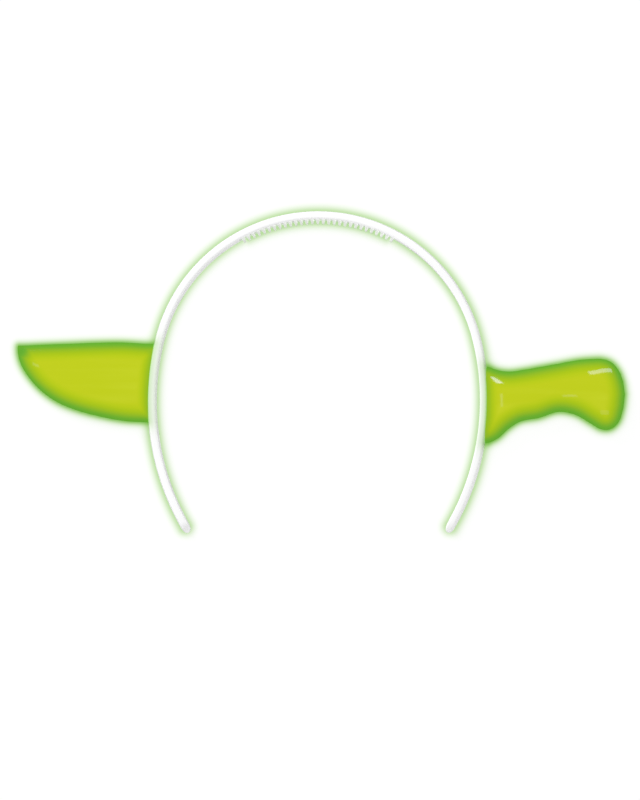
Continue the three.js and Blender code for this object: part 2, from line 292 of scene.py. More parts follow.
def outer_face_at(height):
    """How far the outer face is from the middle line at heights over the widest level."""
    height = np.asarray(height, float)
    on_limb = height < LIMB_RADIUS * math.sin(JOIN_TURN)
    radius = np.where(on_limb, LIMB_RADIUS, CROWN_RADIUS)
    rise = np.clip(height - np.where(on_limb, 0.0, CROWN_CENTRE_Y), -radius, radius)
    return np.where(on_limb, LIMB_CENTRE_X, 0.0) + np.sqrt(radius ** 2 - rise ** 2)


# Meshes

BOX_FACES = ((0, 1, 3, 2), (4, 6, 7, 5), (0, 4, 5, 1), (2, 3, 7, 6), (0, 2, 6, 4), (1, 5, 7, 3))


def place(points):
    """Points about the band's middle, in millimetres, as points of the frame, in metres."""
    return (np.asarray(points, float) + (BAND_MIDDLE_X, WIDEST_Y, MIDDLE_Z)) * MM


def mesh_object(name, points, faces=(), edges=()):
    """An object made of points in metres, with its faces turned outwards."""
    mesh = bpy.data.meshes.new(name)
    faces = [tuple(face) for face in faces]
    mesh.from_pydata([tuple(point) for point in points], list(edges), faces)
    if faces:
        form = bmesh.new()
        form.from_mesh(mesh)
        bmesh.ops.recalc_face_normals(form, faces=form.faces)
        form.to_mesh(mesh)
        form.free()
    piece = bpy.data.objects.new(name, mesh)
    bpy.context.scene.collection.objects.link(piece)
    return piece


def baked(piece):
    """Makes the piece's evaluated mesh its own, and clears its modifiers."""
    bpy.context.view_layer.update()
    graph = bpy.context.evaluated_depsgraph_get()
    mesh = bpy.data.meshes.new_from_object(piece.evaluated_get(graph))
    piece.modifiers.clear()
    old = piece.data
    piece.data = mesh
    bpy.data.meshes.remove(old)
    mesh.name = piece.name
    return piece


def cut(piece, cutter):
    """Takes the cutter out of the piece, and removes the cutter."""
    boolean = piece.modifiers.new("cut", "BOOLEAN")
    boolean.operation = "DIFFERENCE"
    boolean.solver = "MANIFOLD"
    boolean.object = cutter
    baked(piece)
    bpy.data.objects.remove(cutter)


def box_object(name, low, high):
    xs, ys, zs = zip(low, high)
    corners = [(x, y, z) for x in xs for y in ys for z in zs]
    return mesh_object(name, place(corners), BOX_FACES)


def set_attribute(piece, name, values):
    values = np.asarray(values, np.float32)
    layer = piece.data.attributes.new(name, "FLOAT", "POINT")
    layer.data.foreach_set("value", values)


def own_points(piece):
    """A piece's points about the band's middle, in millimetres."""
    flat = np.empty(3 * len(piece.data.vertices), np.float32)
    piece.data.vertices.foreach_get("co", flat)
    return flat.reshape(-1, 3) / MM - (BAND_MIDDLE_X, WIDEST_Y, MIDDLE_Z)


def shade(piece):
    """Shades smoothly, and leaves sharp edges crisp."""
    piece.data.shade_smooth()
    piece.data.set_sharp_from_angle(angle=math.radians(SHARP_ANGLE))


# Distances in the plane that the headband lies in

def distance_to_line(points, line):
    """Each point's distance to a line of straight runs."""
    best = np.full(len(points), np.inf)
    for start, end in zip(line[:-1], line[1:]):
        along = end - start
        share = np.clip((points - start) @ along / max(along @ along, 1e-12), 0, 1)
        best = np.minimum(best, np.linalg.norm(points - start - share[:, None] * along, axis=1))
    return best


def is_inside(points, outline):
    """Which points lie inside a closed outline."""
    inside = np.zeros(len(points), bool)
    x, y = points.T
    for (ax, ay), (bx, by) in zip(outline, np.roll(outline, -1, axis=0)):
        if ay != by:
            crosses = (ay > y) != (by > y)
            inside ^= crosses & (x < (bx - ax) * (y - ay) / (by - ay) + ax)
    return inside


def glow_share(distance, peak, reach, power):
    """How green white turns at a distance from the light, from 0 to 1."""
    return peak * np.exp(-(np.maximum(distance, 0) / reach) ** power)


# Node trees

def add_node(tree, kind, inputs=None, **settings):
    """A node with its settings, and with its inputs set or linked by name or number."""
    node = tree.nodes.new(kind)
    for name, value in settings.items():
        setattr(node, name, value)
    for key, value in (inputs or {}).items():
        socket = node.inputs[key]
        if isinstance(value, bpy.types.NodeSocket):
            tree.links.new(value, socket)
        else:
            socket.default_value = value
    return node


def math_node(tree, operation, *values, kind="ShaderNodeMath"):
    return add_node(tree, kind, dict(enumerate(values)), operation=operation).outputs[0]


def vector_node(tree, operation, *values):
    return math_node(tree, operation, *values, kind="ShaderNodeVectorMath")


def geometry_tree(name, inputs):
    """A geometry node tree with named inputs, given as (name, socket kind), after its geometry."""
    tree = bpy.data.node_groups.new(name, "GeometryNodeTree")
    tree.interface.new_socket("Geometry", in_out="INPUT", socket_type="NodeSocketGeometry")
    for title, kind in inputs:
        tree.interface.new_socket(title, in_out="INPUT", socket_type=kind)
    tree.interface.new_socket("Geometry", in_out="OUTPUT", socket_type="NodeSocketGeometry")
    return tree, tree.nodes.new("NodeGroupInput").outputs


def run_tree(piece, tree, values):
    """Runs a tree on a piece with values for its named inputs, and keeps the plain mesh."""
    modifier = piece.modifiers.new(tree.name, "NODES")
    modifier.node_group = tree
    items = tree.interface.items_tree
    sockets = {item.name: item.identifier for item in items if item.in_out == "INPUT"}
    for name, value in values.items():
        modifier[sockets[name]] = value
    return baked(piece)


# Colour

def linear(screen_colour):
    """A colour as a screen shows it, 0 to 255, turned into a linear one with alpha."""
    shares = [value / 255 for value in screen_colour]
    return [s / 12.92 if s <= 0.04045 else ((s + 0.055) / 1.055) ** 2.4 for s in shares] + [1.0]


def colour_ramp(tree, place_on_ramp, stops):
    """A ramp through screen colours, given as (place from 0 to 1, colour)."""
    node = add_node(tree, "ShaderNodeValToRGB", {"Fac": place_on_ramp})
    elements = node.color_ramp.elements
    while len(elements) < len(stops):
        elements.new(0.5)
    for element, (position, colour) in zip(elements, stops):
        element.position = position
        element.color = linear(colour)
    return node.outputs["Color"]


def glow_ramp(tree, share):
    """White turned towards the glow's green by a share."""
    stops = []
    for step in range(GLOW_STOPS):
        amount = step / (GLOW_STOPS - 1)
        stops.append((amount, [255 + (green - 255) * amount for green in GLOW_COLOUR]))
    return colour_ramp(tree, share, stops)


def mix_colours(tree, share, first, second, blend="MIX"):
    node = add_node(tree, "ShaderNodeMix", data_type="RGBA", blend_type=blend)
    for index, value in ((0, share), (6, first), (7, second)):
        socket = node.inputs[index]
        if isinstance(value, bpy.types.NodeSocket):
            tree.links.new(value, socket)
        else:
            socket.default_value = value
    return node.outputs[2]


def map_range(tree, value, span, to_span=(0.0, 1.0)):
    return add_node(tree, "ShaderNodeMapRange", {
        "Value": value, "From Min": span[0], "From Max": span[1],
        "To Min": to_span[0], "To Max": to_span[1],
    }).outputs["Result"]


def noise(tree, cells_per_metre, stretch=(1.0, 1.0, 1.0), detail=3.0):
    """Noise on object coordinates, with its cells drawn out where the stretch is small."""
    spot = add_node(tree, "ShaderNodeTexCoord").outputs["Object"]
    mapped = add_node(tree, "ShaderNodeMapping", {"Vector": spot, "Scale": stretch}).outputs[0]
    inputs = {"Vector": mapped, "Scale": cells_per_metre, "Detail": detail}
    return add_node(tree, "ShaderNodeTexNoise", inputs).outputs["Fac"]


def add_bump(tree, surface, height, depth):
    inputs = {"Height": height, "Strength": BUMP_STRENGTH, "Distance": depth}
    bump = add_node(tree, "ShaderNodeBump", inputs)
    tree.links.new(bump.outputs["Normal"], surface.inputs["Normal"])


def point_value(tree, name):
    return add_node(tree, "ShaderNodeAttribute", attribute_name=name).outputs["Fac"]


def glow_nodes(tree, distance, peak, reach, power):
    """The same fall-off as glow_share, in nodes."""
    away = math_node(tree, "DIVIDE", math_node(tree, "MAXIMUM", distance, 0.0), reach)
    fall = math_node(tree, "MULTIPLY", math_node(tree, "POWER", away, power), -1.0)
    return math_node(tree, "MULTIPLY", math_node(tree, "EXPONENT", fall), peak)


# Materials

def surface_of(material):
    material.use_nodes = True
    return material.node_tree, material.node_tree.nodes["Principled BSDF"]


def white_plastic_finish():
    """Moulded white plastic with a faint painted glow of its own, turned green by painted light
    and shade where a lit shell shines into it, and on the comb.
    """
    material = bpy.data.materials.new("white_plastic")
    tree, surface = surface_of(material)
    mottle = noise(tree, MOTTLE_CELLS)
    body = mix_colours(tree, map_range(tree, mottle, (0.35, 0.68)), WHITE_BODY, WHITE_PATCH)
    # Painted light: green glow and shade from the shells, white elsewhere
    painted_glow_colour = glow_ramp(tree, point_value(tree, "leak"))
    tree.links.new(mix_colours(tree, 1.0, body, painted_glow_colour, "MULTIPLY"), surface.inputs["Base Color"])
    tree.links.new(painted_glow_colour, surface.inputs["Emission Color"])
    # Painted light: the white plastic glows faintly, white, and green beside the shells
    surface.inputs["Emission Strength"].default_value = WHITE_PAINTED_GLOW
    gloss = map_range(tree, mottle, (0.3, 0.75), WHITE_ROUGHNESS)
    tree.links.new(gloss, surface.inputs["Roughness"])
    add_bump(tree, surface, noise(tree, GRAIN_CELLS, detail=2.0), GRAIN_DEPTH)
    return material


def lit_plastic_finish():
    """Translucent lime plastic lit from inside, with painted shade that turns it deep green
    towards its outline.
    """
    material = bpy.data.materials.new("lit_green_plastic")
    tree, surface = surface_of(material)
    # Painted shade: the shell turns deeper green nearer its outline
    rim = math_node(tree, "DIVIDE", point_value(tree, "rim"), RIM_REACH)
    flow = noise(tree, FLOW_CELLS, (0.35, 1.6, 1.0), 2.0)
    waver = map_range(tree, flow, (0.3, 0.7), (-RIM_WAVER, RIM_WAVER))
    wavy = math_node(tree, "ADD", rim, waver)
    stops = [(depth / RIM_REACH, colour) for depth, colour in EDGE_SHADE_COLOURS]
    depth_colour = colour_ramp(tree, wavy, stops)
    # Painted reflection: faint lighter streaks drawn out along the shell, kept off its edge
    drawn = noise(tree, REFLECTION_STREAK_CELLS, (0.08, 1.0, 1.0), 2.0)
    painted_reflections = map_range(tree, drawn, (0.45, 0.65), (0.0, 0.5))
    inner = math_node(tree, "MULTIPLY", painted_reflections, map_range(tree, rim, (0.7, 1.0)))
    colour = mix_colours(tree, inner, depth_colour, linear(PAINTED_REFLECTION_COLOUR))
    base = mix_colours(tree, 1.0, colour, (*[LIT_BASE_SHARE] * 3, 1), "MULTIPLY")
    tree.links.new(base, surface.inputs["Base Color"])
    tree.links.new(colour, surface.inputs["Emission Color"])
    surface.inputs["Emission Strength"].default_value = LIT_GLOW
    surface.inputs["IOR"].default_value = LIT_IOR
    gloss = map_range(tree, noise(tree, GLOSS_CELLS), (0.3, 0.75), LIT_ROUGHNESS)
    tree.links.new(gloss, surface.inputs["Roughness"])
    add_bump(tree, surface, noise(tree, RIPPLE_CELLS, (0.4, 1.0, 1.0), 1.0), RIPPLE_DEPTH)
    return material


def pale_surface_finish():
    """The pale surface, with the green light of the shells and of the band's edge painted on it as
    a green glow and shade.
    """
    material = bpy.data.materials.new("pale_surface")
    tree, surface = surface_of(material)
    band = glow_nodes(tree, point_value(tree, "band_gap"), **BAND_GLOW)
    comb = glow_nodes(tree, point_value(tree, "comb_gap"), **COMB_GLOW)
    knife = glow_nodes(tree, point_value(tree, "knife_gap"), **KNIFE_GLOW)
    left = 1.0
    for share in (band, comb, knife):
        left = math_node(tree, "MULTIPLY", left, math_node(tree, "SUBTRACT", 1.0, share))
    colour = glow_ramp(tree, math_node(tree, "SUBTRACT", 1.0, left))
    tree.links.new(colour, surface.inputs["Emission Color"])
    base = mix_colours(tree, 1.0, colour, (*[SURFACE_BASE_SHARE] * 3, 1), "MULTIPLY")
    tree.links.new(base, surface.inputs["Base Color"])
    surface.inputs["Emission Strength"].default_value = SURFACE_GLOW
    surface.inputs["Roughness"].default_value = SURFACE_ROUGHNESS
    surface.inputs["Specular IOR Level"].default_value = 0.0
    return material


# Headband

def band_section():
    """The band's closed section as (distance out from the middle of its thickness, z)."""
    rounding = BAND_EDGE_ROUND
    flat_half = BAND_DEPTH / 2 - rounding

    def corner(depth, z, from_turn):
        return [(depth + rounding * math.cos(turn), z + rounding * math.sin(turn))
                for turn in from_turn + np.linspace(0, math.pi / 2, CORNER_POINTS)]

    inner = BAND_THICKNESS - rounding
    outer = BAND_BULGE + rounding
    shares = np.linspace(1, -1, DOME_POINTS + 2)[1:-1]
    dome = [(BAND_BULGE * share ** 2, share * flat_half) for share in shares]
    flat = [(BAND_THICKNESS, -share * flat_half) for share in shares[::2]]
    outline = [
        *corner(inner, flat_half, 0),
        *corner(outer, flat_half, math.pi / 2),
        *dome,
        *corner(outer, -flat_half, math.pi),
        *corner(inner, -flat_half, 1.5 * math.pi),
        *flat,
    ]
    return [(BAND_THICKNESS / 2 - depth, z) for depth, z in outline]


def section_line():
    """The section as a closed line in the XY plane of its own object."""
    points = [(out * MM, z * MM, 0.0) for out, z in band_section()]
    edges = [(i, (i + 1) % len(points)) for i in range(len(points))]
    return mesh_object("band_section", points, edges=edges)


def middle_line():
    """The line that the section follows, with how much of the section is left near each tip."""
    half = BAND_THICKNESS / 2
    tips = np.sin(np.linspace(0, math.asin(TIP_CLOSED_AT), TIP_SECTIONS + 1))[1:]
    body = arch_line(TAPER_TURN, math.pi - TAPER_TURN, half)
    run = np.array((math.sin(TAPER_TURN), -math.cos(TAPER_TURN)))
    right_tip = [body[0] + run * share * TIP_TAPER for share in tips[::-1]]
    left_tip = [body[-1] + run * (-1, 1) * share * TIP_TAPER for share in tips]
    spots = np.vstack((right_tip, body, left_tip))
    reach = np.concatenate((tips[::-1], np.zeros(len(body)), tips))
    points = place([(x, y, 0.0) for x, y in spots])
    line = mesh_object("middle_line", points, edges=[(i, i + 1) for i in range(len(points) - 1)])
    set_attribute(line, "thickness_share", np.sqrt(1 - reach ** 4))
    set_attribute(line, "depth_share", np.sqrt(1 - reach ** 2))
    return line


def comb_tooth():
    """One tooth, a softened wedge that points along +Y from its foot at the origin."""
    corners = [
        (side * half_width * MM, height * MM, end * half_depth * MM)
        for height, half_width, half_depth in (
            (-TOOTH_ROOT_SINK, TOOTH_ROOT_WIDTH / 2, TOOTH_ROOT_HALF_DEPTH),
            (TOOTH_LENGTH, TOOTH_TIP_WIDTH / 2, TOOTH_ROOT_HALF_DEPTH - TOOTH_END_SLANT),
        )
        for side in (-1, 1)
        for end in (-1, 1)
    ]
    tooth = mesh_object("comb_tooth", corners, BOX_FACES)
    bevel = tooth.modifiers.new("soft_edges", "BEVEL")
    bevel.width = TOOTH_EDGE_ROUND * MM
    bevel.segments = 3
    bevel.limit_method = "NONE"
    return baked(tooth)


def headband_tree():
    """Sweeps the section along the middle line, and joins a comb of teeth to its inner face."""
    tree, given = geometry_tree("headband_moulding", [
        ("Section", "NodeSocketObject"),
        ("Tooth", "NodeSocketObject"),
        ("Tooth Count", "NodeSocketInt"),
        ("Tooth Pitch Turn", "NodeSocketFloat"),
        ("Comb Radius", "NodeSocketFloat"),
        ("Comb Centre", "NodeSocketVector"),
        ("Plastic", "NodeSocketMaterial"),
    ])
    path = add_node(tree, "GeometryNodeMeshToCurve", {"Mesh": given["Geometry"]}).outputs[0]
    path = add_node(tree, "GeometryNodeSetCurveNormal", {"Curve": path}, mode="Z_UP").outputs[0]
    keep = add_node(tree, "GeometryNodeCaptureAttribute", {"Geometry": path})
    keep.capture_items.new("VECTOR", "Middle")
    spot = add_node(tree, "GeometryNodeInputPosition").outputs[0]
    tree.links.new(spot, keep.inputs["Middle"])

    section = add_node(tree, "GeometryNodeObjectInfo", {"Object": given["Section"]})
    profile = add_node(tree, "GeometryNodeMeshToCurve", {
        "Mesh": section.outputs["Geometry"]}).outputs[0]
    sweep = add_node(tree, "GeometryNodeCurveToMesh", {
        "Curve": keep.outputs["Geometry"], "Profile Curve": profile, "Fill Caps": True}).outputs[0]

    kind = "GeometryNodeInputNamedAttribute"
    thick, deep = (
        add_node(tree, kind, {"Name": name}, data_type="FLOAT").outputs["Attribute"]
        for name in ("thickness_share", "depth_share"))
    scale = add_node(tree, "ShaderNodeCombineXYZ", {"X": thick, "Y": thick, "Z": deep}).outputs[0]
    middle = keep.outputs["Middle"]
    away = vector_node(tree, "SUBTRACT", spot, middle)
    moved = vector_node(tree, "ADD", middle, vector_node(tree, "MULTIPLY", away, scale))
    band = add_node(tree, "GeometryNodeSetPosition", {
        "Geometry": sweep, "Position": moved}).outputs[0]

    line = add_node(tree, "GeometryNodeMeshLine", {"Count": given["Tooth Count"]}).outputs[0]
    index = add_node(tree, "GeometryNodeInputIndex").outputs[0]
    last = math_node(tree, "SUBTRACT", given["Tooth Count"], 1.0)
    from_middle = math_node(tree, "SUBTRACT", index, math_node(tree, "DIVIDE", last, 2.0))
    turn = math_node(tree, "MULTIPLY", from_middle, given["Tooth Pitch Turn"])
    across = math_node(tree, "MULTIPLY", math_node(tree, "SINE", turn), given["Comb Radius"])
    along = math_node(tree, "MULTIPLY", math_node(tree, "COSINE", turn), given["Comb Radius"])
    foot = add_node(tree, "ShaderNodeCombineXYZ", {"X": across, "Y": along}).outputs[0]
    foot = vector_node(tree, "ADD", foot, given["Comb Centre"])
    feet = add_node(tree, "GeometryNodeSetPosition", {
        "Geometry": line, "Position": foot}).outputs[0]
    tooth = add_node(tree, "GeometryNodeObjectInfo", {"Object": given["Tooth"]})
    tooth_turn = math_node(tree, "SUBTRACT", math.pi, turn)
    rotation = add_node(tree, "ShaderNodeCombineXYZ", {"Z": tooth_turn}).outputs[0]
    rotation = add_node(tree, "FunctionNodeEulerToRotation", {"Euler": rotation}).outputs[0]
    teeth = add_node(tree, "GeometryNodeInstanceOnPoints", {
        "Points": feet, "Instance": tooth.outputs["Geometry"], "Rotation": rotation}).outputs[0]
    teeth = add_node(tree, "GeometryNodeRealizeInstances", {"Geometry": teeth}).outputs[0]

    union = add_node(tree, "GeometryNodeMeshBoolean", operation="UNION", solver="MANIFOLD")
    tree.links.new(band, union.inputs["Mesh 2"])
    tree.links.new(teeth, union.inputs["Mesh 2"])
    whole = add_node(tree, "GeometryNodeRealizeInstances", {
        "Geometry": union.outputs["Mesh"]}).outputs[0]
    done = add_node(tree, "GeometryNodeSetMaterial", {
        "Geometry": whole, "Material": given["Plastic"]}).outputs[0]
    tree.links.new(done, tree.nodes.new("NodeGroupOutput").inputs["Geometry"])
    return tree


def post_box(name, side, level, clearance):
    """The post's block, grown by a clearance all round. Side is 1 for the handle."""
    face = float(outer_face_at(level))
    near = side * (face - POST_POCKET)
    far = side * (face + POST_REACH + clearance)
    half_height = POST_HEIGHT / 2 + clearance
    half_thickness = POST_THICKNESS / 2 + clearance
    low = (min(near, far), level - half_height, -half_thickness)
    high = (max(near, far), level + half_height, half_thickness)
    return box_object(name, low, high)


def painted_glow_on(points):
    """How far the band takes painted green light and shade: beside a shell's root, on the teeth
    and between them.
    """
    depth = CROWN_RADIUS - np.hypot(points[:, 0], points[:, 1] - CROWN_CENTRE_Y)
    turn = np.arctan2(points[:, 0], points[:, 1] - CROWN_CENTRE_Y)
    in_comb = np.abs(turn) < TOOTH_COUNT / 2 * TOOTH_PITCH_TURN
    out = depth - BAND_THICKNESS
    wall = (np.abs(out) < WALL_SKIN) & (np.abs(points[:, 2]) < WALL_PAINTED_GLOW_HALF)
    tooth = np.interp(out, (WALL_SKIN, TOOTH_LENGTH), TOOTH_PAINTED_SHADE) * (out > WALL_SKIN)
    share = in_comb * np.where(wall, WALL_PAINTED_GLOW, tooth)
    for side, edges in ((-1, blade_edges), (1, handle_edges)):
        top, low = edges[0](np.zeros(1))[0, 1], edges[1](np.zeros(1))[0, 1]
        heights = np.linspace(low, top, ROOT_LINE_STEPS)
        root = np.column_stack((side * outer_face_at(heights), heights))
        share = np.maximum(share, glow_share(distance_to_line(points[:, :2], root), **ROOT_PAINTED_GLOW))
    return share


def make_headband(plastic):
    line, section, tooth = middle_line(), section_line(), comb_tooth()
    band = run_tree(line, headband_tree(), {
        "Section": section,
        "Tooth": tooth,
        "Tooth Count": TOOTH_COUNT,
        "Tooth Pitch Turn": TOOTH_PITCH_TURN,
        "Comb Radius": (CROWN_RADIUS - BAND_THICKNESS) * MM,
        "Comb Centre": place([(0.0, CROWN_CENTRE_Y, 0.0)])[0].tolist(),
        "Plastic": plastic,
    })
    band.name = "comb_headband"
    for helper in (section, tooth):
        bpy.data.objects.remove(helper)
    for side, level in ((-1, BLADE_LEVEL), (1, HANDLE_LEVEL)):
        cut(band, post_box("pocket", side, level, SEAT_GAP))
    # Painted green light and shade on the band, beside the shells and on the comb
    set_attribute(band, "leak", painted_glow_on(own_points(band)))
    shade(band)
    return band


# Knife shells

def edge_curve(points):
    """A centripetal Catmull-Rom curve through points, as a function of shares from 0 to 1."""
    points = np.array(points, float)
    padded = np.vstack((2 * points[0] - points[1], points, 2 * points[-1] - points[-2]))

    def at(shares):
        spots = np.asarray(shares, float) * (len(points) - 1)
        row = np.clip(spots.astype(int), 0, len(points) - 2)
        step = (spots - row)[:, None]
        before, start, end, after = (padded[row + k] for k in range(4))
        pairs = ((before, start), (start, end), (end, after))
        near, run, far = (((b - a) ** 2).sum(1, keepdims=True) ** 0.25 for a, b in pairs)
        leave = (start - before) / near - (end - before) / (near + run) + (end - start) / run
        reach = (end - start) / run - (after - start) / (run + far) + (after - end) / far
        leave, reach = leave * run, reach * run
        square = -3 * start + 3 * end - 2 * leave - reach
        cube = 2 * start - 2 * end + leave + reach
        return start + leave * step + square * step ** 2 + cube * step ** 3

    return at


def shell_edges(rows, length, height, thickness, level):
    """A table's top and lower edges as curves. A curve's z is the half thickness there."""
    base = level - height / 2
    start = BAND_OUTER_WIDTH / 2
    top, low = (
        [(start + row[first] * length, base + row[first + 1] * height, row[4] * thickness / 2)
         for row in rows]
        for first in (0, 2))
    return edge_curve(top), edge_curve(low), len(rows)


def ring_turns(squareness, height, thickness, sides):
    """Turns of a ring's points, closer where the section bends, and alike in its four quarters."""
    fine = np.linspace(0, math.pi / 2, QUARTER_STEPS)
    power = 2 / squareness
    across = np.abs(np.cos(fine)) ** power * height / 2
    up = np.sin(fine) ** power * thickness / 2
    runs = np.hypot(np.diff(across), np.diff(up))
    headings = np.unwrap(np.arctan2(np.diff(up), np.diff(across)))
    bends = np.abs(np.gradient(headings)) * (height + thickness) / 8
    travelled = np.concatenate(([0.0], np.cumsum(runs + bends)))
    quarter = np.interp(np.linspace(0, travelled[-1], sides // 4 + 1), travelled, fine)
    half = np.concatenate((quarter, math.pi - quarter[-2::-1]))
    return np.concatenate((half, 2 * math.pi - half[-2:0:-1]))


def sections(edges, squareness, turns, shares, inset):
    """Rings of the shell, as superellipses inset by the wall, with their middles and sizes."""
    top, low = edges[0](shares), edges[1](shares)
    half = (top - low)[:, :2] / 2
    reach = np.linalg.norm(half, axis=1)
    unit = half / np.maximum(reach, 1e-9)[:, None]

    def inset_at(curve):
        ahead = curve(np.minimum(shares + 1e-4, 1)) - curve(np.maximum(shares - 1e-4, 0))
        ahead = ahead[:, :2] / np.linalg.norm(ahead[:, :2], axis=1, keepdims=True)
        square_to = np.abs(ahead[:, 0] * unit[:, 1] - ahead[:, 1] * unit[:, 0])
        return inset / np.maximum(square_to, LEAST_SQUARE_TO)

    top_inset, low_inset = inset_at(edges[0]), inset_at(edges[1])
    half_height = reach - (top_inset + low_inset) / 2
    half_thickness = top[:, 2] - inset
    middle = (top + low)[:, :2] / 2 + unit * ((low_inset - top_inset) / 2)[:, None]
    return middle, unit, half_height, half_thickness, ring_points(
        middle, unit, half_height, half_thickness, squareness, turns)


def ring_points(middle, unit, half_height, half_thickness, squareness, turns):
    power = 2 / squareness
    cosine, sine = np.cos(turns), np.sin(turns)
    across = np.sign(cosine) * np.abs(cosine) ** power
    up = np.sign(sine) * np.abs(sine) ** power
    plan = middle[:, None, :] + unit[:, None, :] * (half_height[:, None] * across)[..., None]
    return np.concatenate((plan, (half_thickness[:, None] * up)[..., None]), axis=2)


def outer_bulge_at(z):
    """How far the band's outer face falls back from its middle line, at a height over it."""
    flat_half = BAND_DEPTH / 2 - BAND_EDGE_ROUND
    past = np.clip(np.abs(z) - flat_half, 0, BAND_EDGE_ROUND)
    corner = BAND_EDGE_ROUND - np.sqrt(BAND_EDGE_ROUND ** 2 - past ** 2)
    dome = BAND_BULGE * np.minimum(np.abs(z) / flat_half, 1) ** 2
    return np.minimum(dome + corner, ROOT_REACH_IN)


def seat_of(ring, clearance, bulge_share=1.0):
    """The ring moved along X onto the band's outer face, at a clearance."""
    moved = ring.copy()
    moved[:, 0] = outer_face_at(ring[:, 1]) + clearance - bulge_share * outer_bulge_at(ring[:, 2])
    return moved


def off_band(ring):
    """How far the ring's nearest point is from the band's outer face, along X."""
    return (ring[:, 0] - outer_face_at(ring[:, 1])).min()


def closed_form(name, rings, side, bulge_share, clearance, pole=None):
    """A closed mesh through rings. Its root follows the band's face, and its end is a point."""
    sides = len(rings[0])
    end = np.mean(rings[-1], axis=0) if pole is None else pole
    rows = np.arange(1, sides // 2)
    upper, lower = rings[0][rows], rings[0][sides - rows]
    shares = np.linspace(0, 1, ROOT_COLUMNS + 1)[1:-1]
    inner = [seat_of(upper + (lower - upper) * share, clearance, bulge_share) for share in shares]
    points = np.vstack([*rings, [end], *inner]) * (side, 1, 1)
    faces = []
    for ring in range(len(rings) - 1):
        for spot in range(sides):
            first, second = ring * sides + spot, ring * sides + (spot + 1) % sides
            faces.append((first, second, second + sides, first + sides))
    last = (len(rings) - 1) * sides
    faces += [(last + spot, last + (spot + 1) % sides, last + sides) for spot in range(sides)]

    def root_spot(row, column):
        if column in (0, ROOT_COLUMNS):
            return row if column == 0 else sides - row
        return last + sides + 1 + (column - 1) * len(rows) + row - 1

    for column in range(ROOT_COLUMNS):
        line = [(root_spot(row, column), root_spot(row, column + 1)) for row in rows]
        faces += [(a, b, d, c) for (a, b), (c, d) in zip(line[:-1], line[1:])]
        faces += [(0, *line[0]), (sides // 2, *line[-1])]
    return mesh_object(name, place(points), faces)


def shell_outside(name, edges, squareness, turns, side):
    shares = np.linspace(0, 1, (edges[2] - 1) * OUTSIDE_STEPS + 1)[:-1]
    middle, unit, half_height, half_thickness, rings = sections(
        edges, squareness, turns, shares, 0.0)
    root = []
    for bend in np.linspace(0, math.pi / 2, ROOT_EDGE_STEPS):
        shrink = ROOT_EDGE_ROUND * (1 - math.sin(bend))
        ring = ring_points(middle[:1], unit[:1], half_height[:1] - shrink,
                           half_thickness[:1] - shrink, squareness, turns)[0]
        root.append(seat_of(ring, SEAT_SHOWN + ROOT_EDGE_ROUND * (1 - math.cos(bend))))
    clear = SEAT_SHOWN + 2 * ROOT_EDGE_ROUND
    body = [ring for ring in rings if off_band(ring) > clear]
    pole = edges[0](np.ones(1))[0] * (1, 1, 0)
    return closed_form(name, root + body, side, 1.0, SEAT_SHOWN, pole)


def shell_hollow(edges, squareness, turns, side):
    shares = np.linspace(0, 1, (edges[2] - 1) * HOLLOW_STEPS + 1)[:-1]
    middle, _, half_height, half_thickness, rings = sections(
        edges, squareness, turns, shares, SHELL_WALL)
    end = edges[0](np.ones(1))[0, 0] - SHELL_WALL
    room = np.minimum(half_height, half_thickness) > SHELL_WALL / 2
    clearance = SEAT_GAP + SHELL_WALL
    body = [ring for ring, x, fits in zip(rings, middle[:, 0], room)
            if fits and x <= end and off_band(ring) > clearance + HOLLOW_START]
    root = seat_of(rings[0], clearance, 0.0)
    return closed_form("hollow", [root] + body, side, 0.0, clearance)


def shell_outline(edges, side):
    """The shell's outline in plan, from its root over its top edge to the tip and back."""
    shares = np.linspace(0, 1, OUTLINE_STEPS)
    top, low = edges[0](shares)[:, :2], edges[1](shares)[:, :2]
    line = np.vstack((top[:1], top, low[::-1], low[:1]))
    line[0, 0] = outer_face_at(line[0, 1]) - BAND_THICKNESS
    line[-1, 0] = outer_face_at(line[-1, 1]) - BAND_THICKNESS
    return line * (side, 1)


def rim_depth(points, edges, side):
    """How far in from the shell's edge each point is, capped beside the root; it sets the painted
    edge shade.
    """
    from_edge = distance_to_line(points[:, :2], shell_outline(edges, side))
    from_root = np.abs(points[:, 0]) - outer_face_at(points[:, 1]) - SEAT_SHOWN
    return np.minimum(from_edge, ROOT_RIM_START + ROOT_RIM_SLOPE * np.maximum(from_root, 0))


def point_shade_depth(points, edges, side):
    """The depth that the colour has near a shell's point, where the painted edge shade turns it
    solid green.
    """
    point = edges[0](np.ones(1))[0, :2] * (side, 1)
    from_point = np.linalg.norm(points[:, :2] - point, axis=1)
    return POINT_RIM_SLOPE * np.maximum(from_point - POINT_RIM_START, 0)


def make_shell(name, edges, squareness, size, side, level, plastic, pointed=False):
    """A hollow shell with a slot for its post. Its size is its height and thickness."""
    outside_turns = ring_turns(squareness, *size, OUTSIDE_SIDES)
    hollow_turns = ring_turns(squareness, *size, HOLLOW_SIDES)
    shell = shell_outside(name, edges, squareness, outside_turns, side)
    cut(shell, shell_hollow(edges, squareness, hollow_turns, side))
    cut(shell, post_box("slot", side, level, SEAT_GAP))
    points = own_points(shell)
    rim = rim_depth(points, edges, side)
    if pointed:
        rim = np.minimum(rim, point_shade_depth(points, edges, side))
    # This depth sets the painted shade, deep green towards the shell's outline
    set_attribute(shell, "rim", rim)
    shell.data.materials.clear()
    shell.data.materials.append(plastic)
    shade(shell)
    return shell


